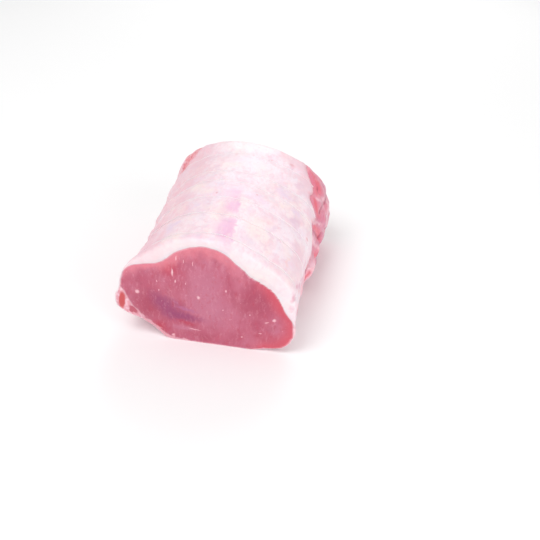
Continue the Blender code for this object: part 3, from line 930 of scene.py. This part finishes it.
def fatMaterial():
    look = fatLook
    material, tree, shader = startMaterial("porkFat")
    where = measure(tree)
    drifted = drift(tree, where, 8.0, 9.0)
    shaken = drift(tree, where, 4.0, 2.5)
    x, back, _ = apart(tree, shaken)

    # creamy white with pink and lilac mottling
    colour = blend(tree, patchy(tree, where, 21.0, 0.42, 0.68, (1.0, 1.6, 1.0)),
                   look["white"], look["cream"])
    for size, seed, low, high, tint, strength in look["mottling"]:
        share = patchy(tree, where, size, low, high, (1.0, 1.5, 1.0), 3.0, seed)
        colour = tinted(tree, colour, look[tint], share, strength)
    leftSide = step(tree, x, -20.0, -47.0)
    dapple = patchy(tree, where, 2.3, 0.42, 0.62, (1.0, 1.5, 1.0), 4.0, 61.0, 0.65)
    dappled = number(tree, "ADD", times(tree, leftSide, 0.35), 0.18)
    colour = tinted(tree, colour, look["pink"], dapple, dappled)
    blotch = patchy(tree, drifted, 6.0, 0.55, 0.70, (1.0, 1.3, 1.0), 3.0, 71.0)
    colour = tinted(tree, colour, look["dusty"], blotch, 0.5)
    threads = patchy(tree, where, 1.5, 0.52, 0.75, (1.0, 7.0, 1.0), 2.0, 23.0)
    colour = tinted(tree, colour, look["pink"], threads, 0.25)

    # pinker down the left side
    mottle = step(tree, noise(tree, where, 4.0, (1.0, 2.6, 1.0), 3.0, 9.0, 0.7), 0.2, 0.8, False)
    colour = tinted(tree, colour, look["left"], leftSide, number(tree, "ADD", mottle, 0.2))

    # where the fat is thin the meat shines through
    thin = step(tree, readValues(tree, "fatDepth"), 3.4, 0.8)
    mottled = patchy(tree, where, 6.0, 0.32, 0.66, (1.0, 2.0, 1.0), 5.0, 3.0)
    colour = tinted(tree, colour, look["thin"], thin, mottled, 0.75)

    # the violet stain along the crown: sharp on its right, fading out to the left
    edge = number(tree, "ADD", times(tree, back, -0.1), 7.4)
    inside = number(tree, "SUBTRACT", edge, x)
    fading = times(tree, step(tree, inside, -0.5, 2.0), step(tree, inside, 14.0, 5.0))
    streaks = patchy(tree, where, 4.0, 0.15, 0.55, (0.7, 2.5, 1.0), 3.0, 2.0)
    for middle, reach, strength in look["stain"]:
        share = spot(tree, where, middle, reach, 0.6)
        colour = tinted(tree, colour, look["violet"], share, fading, streaks, strength)
    sharp = step(tree, inside, -0.5, 1.5)
    for middle, reach, strength in look["core"]:
        share = spot(tree, shaken, middle, reach, 0.8)
        colour = tinted(tree, colour, look["magenta"], share, sharp, strength)

    for middle, reach, tint, strength in look["patches"]:
        colour = tinted(tree, colour, look[tint], spot(tree, drifted, middle, reach, 0.9), strength)
    for middle, reach in look["spots"]:
        colour = tinted(tree, colour, look["spotColour"], spot(tree, where, middle, reach, 0.8), 0.8)

    # the rear left shoulder, where the fat is torn off the meat
    shaky = unrest(tree, where, 2.6, (1.0, 1.4, 1.0), 41.0)
    torn = frayed(tree, "torn", shaky, 1.5)
    colour = tinted(tree, colour, look["left"], step(tree, torn, 0.0, 0.7))
    colour = tinted(tree, colour, look["torn"], step(tree, torn, 0.4, 1.1))
    clots = patchy(tree, where, 1.8, 0.56, 0.68, (1.0, 1.5, 1.0), 3.0, 51.0)
    colour = tinted(tree, colour, look["clot"], clots, step(tree, torn, 0.6, 0.9), 0.8)

    # paler along the cut edge in front, partly the cut fat's own whiteness and partly painted
    # highlight; mauve in the folds as painted shade
    # painted highlight: the palest colour laid along the front cut edge
    colour = tinted(tree, colour, look["rim"], step(tree, back, 3.6, -0.6), 0.55)
    for middle, reach, strength in look["bruises"]:
        colour = tinted(tree, colour, look["bruiseAndFoldShade"], spot(tree, shaken, middle, reach, 0.9), strength)
    # painted shade: mauve laid along the folds
    foldShadeMask = frayed(tree, "folds", shaky, 0.8)
    colour = tinted(tree, colour, look["bruiseAndFoldShade"], step(tree, foldShadeMask, 0.15, 1.1), 0.65)

    # towards its right edge the fat thins to a film over the meat
    fromEdge = frayed(tree, "fromEdge", shaky, 3.5)
    colour = tinted(tree, colour, look["pink"], step(tree, fromEdge, 14.0, 2.0), 0.45)
    behind = step(tree, back, 30.0, 44.0)
    colour = tinted(tree, colour, look["thin"], step(tree, fromEdge, 4.5, 0.0), behind, 0.7)
    tree.links.new(colour, shader.inputs["Base Color"])
    grain = number(tree, "ADD", noise(tree, where, 3.2, (1.0, 1.6, 1.0), 4.0),
                   times(tree, noise(tree, where, 0.9, (1.0, 2.0, 1.0), 2.0), 0.35))
    bump(tree, shader, grain, 0.45, 0.6)
    moist(shader, 0.42, 0.4, (2.4, 1.4, 1.3), 0.35, 0.08)
    return material


meatLook = {
    "rose": (0.53, 0.118, 0.190),
    "pale": (0.60, 0.185, 0.270),
    "grey": (0.59, 0.205, 0.300),
    "mauve": (0.43, 0.070, 0.125),
    "crimson": (0.54, 0.055, 0.100),
    "edge": (0.84, 0.265, 0.330),
    "stain": (0.34, 0.070, 0.175),
    "lilac": (0.50, 0.16, 0.30),
    "fleck": (0.95, 0.62, 0.69),
    "speckle": (0.72, 0.32, 0.40),
    "skin": (0.88, 0.50, 0.57),
    "red": (0.70, 0.100, 0.140),
    "purple": (0.62, 0.20, 0.33),
    "lobe": (0.80, 0.13, 0.18),
    "film": (0.92, 0.62, 0.68),
    "veil": (0.92, 0.58, 0.66),
    "flesh": (0.76, 0.27, 0.36),
    "mauveFlesh": (0.74, 0.36, 0.46),
    # painted shade for the creases between the bundles
    "creaseShade": (0.42, 0.06, 0.11),
    # x and z of the middle, half width and half height, tilt, colour and strength
    "patches": (
        ((-7, 36), (18, 32), 0, "grey", 0.85),
        ((-2, 24), (22, 17), 0, "grey", 0.5),
        ((23, 36), (16, 17), -35, "mauve", 0.7),
        ((33, 10), (15, 8), 0, "crimson", 0.5),
        ((-30, 53.5), (8, 10), 0, "crimson", 0.75),
        ((-38, 9), (8.5, 7), -35, "crimson", 0.8),
        ((-44, 24), (17, 17), 0, "mauve", 0.75),
        ((-35, 26.5), (16, 8.5), -48, "stain", 0.7),
        ((-28, 25), (15, 9), -30, "stain", 0.5),
        ((-20.4, 19.2), (16.5, 4.4), -4, "stain", 0.85),
        ((-29, 19), (10, 6), -20, "stain", 0.6),
        ((-20.6, 24.9), (11, 1.9), -10, "lilac", 0.85),
        ((-27, 29.5), (5, 1.1), -45, "lilac", 0.5),
        ((-20.7, 14.9), (10, 2), -8, "crimson", 0.6),
        ((-22, 10.4), (12, 3), -4, "grey", 0.8),
    ),
    # the same for the flecks of fat
    "flecks": (
        ((-28.2, 50.5), (0.75, 3.6), 4),
        ((-25.6, 60.3), (0.5, 2.3), -8),
        ((-26.4, 44.7), (0.6, 1.8), -4),
        ((-21, 58.8), (0.35, 1.8), 3),
        ((-15.5, 58.2), (0.35, 2.2), 0),
        ((-51, 33), (1.9, 2), 0),
        ((34, 24.8), (1.6, 1.5), 20),
        ((29.6, 22.7), (1.8, 0.5), 15),
        ((-12.3, 35), (1.3, 1.6), 10),
        ((-15.5, 10.4), (5.4, 0.5), -4),
        ((14.4, 9.2), (0.9, 0.8), 0),
        ((19.2, 27.1), (0.6, 0.7), 0),
        ((2.8, 28.2), (0.5, 0.7), 0),
        ((25.7, 13.8), (1.4, 0.35), 10),
        ((-29.3, 3.6), (1.8, 1.2), 30),
        ((4.5, 42.3), (0.9, 1.2), 0),
        ((-36.8, 36.7), (0.5, 0.9), 0),
        ((-38, 43), (0.4, 1.2), 12),
        ((-20, 44), (0.35, 1), 0),
    ),
}


def meatMaterial():
    look = meatLook
    material, tree, shader = startMaterial("porkMeat")
    where = measure(tree)
    drifted = drift(tree, where, 9.0, 6.0)
    shaken = drift(tree, where, 2.6, 1.6)
    freckled = drift(tree, where, 1.5, 0.5)
    inwards = readValues(tree, "inwards")
    x, back, up = apart(tree, where)
    inFront = step(tree, back, 40.0, 20.0)

    # the cut face: rose meat, its patches, the stain low on the left and upright pale grain
    rosy = patchy(tree, where, 20.0, 0.36, 0.68, (1.0, 1.0, 1.3))
    face = blend(tree, rosy, look["rose"], look["pale"])
    dark = patchy(tree, drifted, 7.0, 0.48, 0.72, (1.0, 1.0, 1.8), 4.0, 4.0)
    face = tinted(tree, face, look["mauve"], dark, 0.45)
    for (side, high), (halfWide, halfHigh), tilt, tint, strength in look["patches"]:
        share = spot(tree, shaken, (side, 0.0, high), (halfWide, 60.0, halfHigh), 0.85, tilt)
        face = tinted(tree, face, look[tint], share, inFront, strength)
    grain = patchy(tree, shaken, 1.5, 0.50, 0.72, (1.0, 1.0, 4.0), 3.0, 1.0)
    face = tinted(tree, face, look["speckle"], grain, 0.3)
    darkGrain = patchy(tree, shaken, 1.9, 0.52, 0.74, (1.0, 1.0, 2.6), 3.0, 27.0)
    face = tinted(tree, face, look["crimson"], darkGrain, 0.32)
    dots = patchy(tree, where, 1.1, 0.65, 0.78, (1.0, 1.0, 1.5), 1.0, 31.0)
    scattered = patchy(tree, where, 16.0, 0.45, 0.65, even, 2.0, 33.0)
    upperLeft = spot(tree, where, (-34.0, 0.0, 48.0), (30.0, 60.0, 22.0), 0.8)
    scattered = number(tree, "MAXIMUM", scattered, upperLeft)
    face = tinted(tree, face, look["fleck"], dots, scattered, 0.3)

    # lighter just under the fat, redder down the right side, and a pale seam round it all
    uneven = unrest(tree, where, 4.0, (1.0, 1.0, 1.4), 57.0)
    ragged = frayed(tree, "inwards", uneven, 9.0)
    topPart = times(tree, step(tree, x, 22.0, 2.0), step(tree, up, 38.0, 52.0))
    face = tinted(tree, face, look["edge"], step(tree, ragged, 10.5, 0.5),
                  readValues(tree, "nearFat"), topPart, 0.8)
    face = tinted(tree, face, look["red"], step(tree, x, 16.0, 32.0),
                  step(tree, inwards, 11.0, 0.0), 0.8)
    lowLeft = times(tree, step(tree, x, -14.0, -26.0), step(tree, up, 20.0, 12.0))
    wider = times(tree, lowLeft, number(tree, "ADD", times(tree, uneven, 8.0), 1.6))
    seam = frayed(tree, "inwards", noise(tree, where, 2.6, even, 4.0, 5.0), 1.6)
    seam = number(tree, "SUBTRACT", seam, wider)
    face = tinted(tree, face, look["skin"], step(tree, seam, 2.1, 0.6), 0.75)
    for (side, high), (halfWide, halfHigh), tilt in look["flecks"]:
        share = spot(tree, freckled, (side, 0.0, high), (halfWide, 9.0, halfHigh), 0.8, tilt)
        face = tinted(tree, face, look["fleck"], share, 0.85)

    # the bared flank: red bundles, paler towards the front, with fibres along them
    flesh = patchy(tree, where, 9.0, 0.38, 0.66, (1.0, 3.5, 1.0), 4.0, 8.0)
    bared = blend(tree, flesh, look["flesh"], look["mauveFlesh"])
    purple = patchy(tree, where, 12.0, 0.5, 0.7, (1.0, 3.0, 1.0), 3.0, 15.0)
    bared = tinted(tree, bared, look["purple"], purple, 0.5)
    bared = tinted(tree, bared, look["veil"], step(tree, back, 84.0, 62.0), 0.95)
    bared = tinted(tree, bared, look["lobe"], readValues(tree, "lobes"), 0.85)
    fibres = patchy(tree, where, 1.3, 0.45, 0.75, (1.0, 9.0, 1.0), 3.0, 2.0)
    bared = tinted(tree, bared, look["pale"], fibres, 0.3)
    skinned = patchy(tree, where, 4.0, 0.5, 0.68, (1.0, 4.0, 1.0), 4.0, 21.0)
    bared = tinted(tree, bared, look["skin"], skinned, 0.3)

    # pale films, the fat's torn border, and painted shade: dark red laid in the creases between the
    # bundles
    film = frayed(tree, "films", unrest(tree, where, 2.4, (1.0, 3.0, 1.0), 43.0), 1.4)
    bared = tinted(tree, bared, look["film"], step(tree, film, 0.2, 1.2), 0.7)
    beside = noise(tree, where, 3.0, (1.0, 2.0, 1.0), 4.0, 47.0)
    beside = frayed(tree, "besideFat", beside, 6.0)
    bared = tinted(tree, bared, look["skin"], step(tree, beside, 4.5, 2.5), 0.2)
    # painted shade: dark red laid in the creases, where shade falls
    creaseShade = frayed(tree, "creases", unrest(tree, where, 2.0, (1.0, 3.0, 1.0), 53.0), 1.0)
    bared = tinted(tree, bared, look["creaseShade"], step(tree, creaseShade, 0.3, 1.1), 0.65)
    bared = tinted(tree, bared, look["film"], step(tree, back, 46.0, 34.0),
                   step(tree, x, 34.0, 42.0), 0.8)
    colour = blend(tree, readValues(tree, "onFace"), bared, face)
    tree.links.new(colour, shader.inputs["Base Color"])

    cells = tree.nodes.new("ShaderNodeTexVoronoi")
    cells.feature = "DISTANCE_TO_EDGE"
    tree.links.new(vectorMath(tree, "MULTIPLY", shaken, (0.55, 0.05, 0.42)), cells.inputs["Vector"])
    cells.inputs["Scale"].default_value = 1.0
    height = number(tree, "ADD", step(tree, cells.outputs["Distance"], 0.0, 0.25),
                    noise(tree, where, 1.1, (1.0, 3.0, 1.6), 3.0))
    bump(tree, shader, height, 0.3, 0.35)
    moist(shader, 0.42, 0.3, (1.8, 0.6, 0.5), 0.25, 0.05)
    return material


sideLook = {
    "pale": (0.80, 0.36, 0.43),
    "skin": (0.92, 0.58, 0.66),
    "lens": (0.62, 0.085, 0.095),
    "triangle": (0.55, 0.110, 0.165),
    # x and z of the middle, half width and half height, tilt and colour of its red parts
    "parts": (
        ((-61.2, 25.2), (2.7, 8.2), -6, "lens"),
        ((-54.3, 19.2), (4.4, 2), -48, "triangle"),
        ((-55.6, 18.2), (1.8, 2.2), 0, "triangle"),
    ),
}


def sideMaterial():
    look = sideLook
    material, tree, shader = startMaterial("sideMuscleMeat")
    where = measure(tree)
    freckled = drift(tree, where, 2.0, 0.5)
    skinned = patchy(tree, where, 2.4, 0.42, 0.62, (1.0, 4.0, 1.4), 4.0)
    colour = blend(tree, skinned, look["pale"], look["skin"])
    for (side, high), (halfWide, halfHigh), tilt, tint in look["parts"]:
        share = spot(tree, freckled, (side, 0.0, high), (halfWide, 300.0, halfHigh), 0.45, tilt)
        colour = tinted(tree, colour, look[tint], share)
    tree.links.new(colour, shader.inputs["Base Color"])
    bump(tree, shader, noise(tree, where, 1.2, (1.0, 4.0, 1.0), 4.0), 0.35, 0.4)
    moist(shader, 0.4, 0.25, (1.2, 0.5, 0.4), 0.4, 0.1)
    return material


twineLook = {"thread": (1.0, 0.93, 0.95), "shade": (1.0, 0.85, 0.88)}


def twineMaterial():
    material, tree, shader = startMaterial("cottonTwine")
    where = measure(tree)
    mottled = noise(tree, where, 6.0, even, 4.0)
    colour = blend(tree, mottled, twineLook["thread"], twineLook["shade"])
    tree.links.new(colour, shader.inputs["Base Color"])
    bump(tree, shader, noise(tree, where, 0.18, (1.0, 1.0, 3.0), 2.0), 0.25, 0.05)
    shader.inputs["Roughness"].default_value = 0.85
    shader.inputs["Specular IOR Level"].default_value = 0.2
    shader.inputs["Sheen Weight"].default_value = 0.5
    return material


def dress(piece, material, slot, *nodes):
    piece.data.materials.append(material)
    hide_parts(*nodes)
    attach(piece, "root")
    print("made", piece.name, len(piece.data.polygons), "faces")


dress(makeLean(), meatMaterial(), "lean", "lean")
dress(makeFat(), fatMaterial(), "fat", "fat_cap")
dress(makeSideMuscle(), sideMaterial(), "side_muscle", "side_muscle")
thread = twineMaterial()
for index, (place, _) in enumerate(twine["loops"], start=1):
    dress(makeLoop(index, place), thread, "twine", f"string_{index}")

stage = {
    "floor": (0.975, 0.975, 0.975),
    "floorHalf": 4.0,  # metres
    "world": 0.56,
    # place in metres, watts and size of each lamp, all aimed at the middle of the joint
    "lamps": {
        "key": ((-0.5, -0.6, 1.3), 9.2, 0.9),
        "fill": ((1.1, -0.75, 0.5), 6.2, 1.0),
        "back": ((0.0, 1.3, 0.9), 5.5, 1.0),
    },
    "aim": (0.0, 0.0, 0.03),
}


def makeFloor():
    half = stage["floorHalf"]
    corners = [(-half, -half, 0.0), (half, -half, 0.0), (half, half, 0.0), (-half, half, 0.0)]
    mesh = bpy.data.meshes.new("floor")
    mesh.from_pydata(corners, [], [(0, 1, 2, 3)])
    floor = bpy.data.objects.new("floor", mesh)
    bpy.context.scene.collection.objects.link(floor)
    material, tree, shader = startMaterial("paleFloor")
    shader.inputs["Base Color"].default_value = (*stage["floor"], 1.0)
    shader.inputs["Roughness"].default_value = 0.8
    mesh.materials.append(material)


def makeLight(name, place, power, size):
    light = bpy.data.lights.new(name, "AREA")
    light.shape = "DISK"
    light.energy = power
    light.size = size
    lamp = bpy.data.objects.new(name, light)
    bpy.context.scene.collection.objects.link(lamp)
    aim = np.array(stage["aim"]) - np.array(place)
    lamp.matrix_world = aimed(place, aim, (0.0, 0.0, 1.0))


def aimed(place, view, up):
    # a matrix that looks along view from place
    view = np.array(view) / np.linalg.norm(view)
    right = np.cross(view, up)
    right /= np.linalg.norm(right)
    top = np.cross(right, view)
    return Matrix([[right[row], top[row], -view[row], place[row]] for row in range(3)]
                  + [[0.0, 0.0, 0.0, 1.0]])


camera = {
    "place": (75.8, -318.6, 266.8),
    "view": (-0.1199, 0.8330, -0.5402),
    "right": (0.9852, 0.1670, 0.0388),
    "lens": 44.6,
}


def makeCamera():
    lens = bpy.data.cameras.new("camera")
    lens.lens = camera["lens"]
    lens.sensor_width = 36.0
    lens.clip_start, lens.clip_end = 0.01, 20.0
    taken = bpy.data.objects.new("camera", lens)
    bpy.context.scene.collection.objects.link(taken)
    place = (np.array(camera["place"]) + np.array(joint["place"])) / 1000.0
    taken.matrix_world = aimed(place, camera["view"], np.cross(camera["right"], camera["view"]))
    bpy.context.scene.camera = taken


makeFloor()
for name, (place, power, size) in stage["lamps"].items():
    makeLight(name, place, power, size)
world = bpy.data.worlds.new("studio")
world.use_nodes = True
world.node_tree.nodes["Background"].inputs["Color"].default_value = (1.0, 1.0, 1.0, 1.0)
world.node_tree.nodes["Background"].inputs["Strength"].default_value = stage["world"]
bpy.context.scene.world = world
bpy.context.scene.view_settings.view_transform = "Standard"
makeCamera()
print("stage set")

bpy.context.view_layer.update()
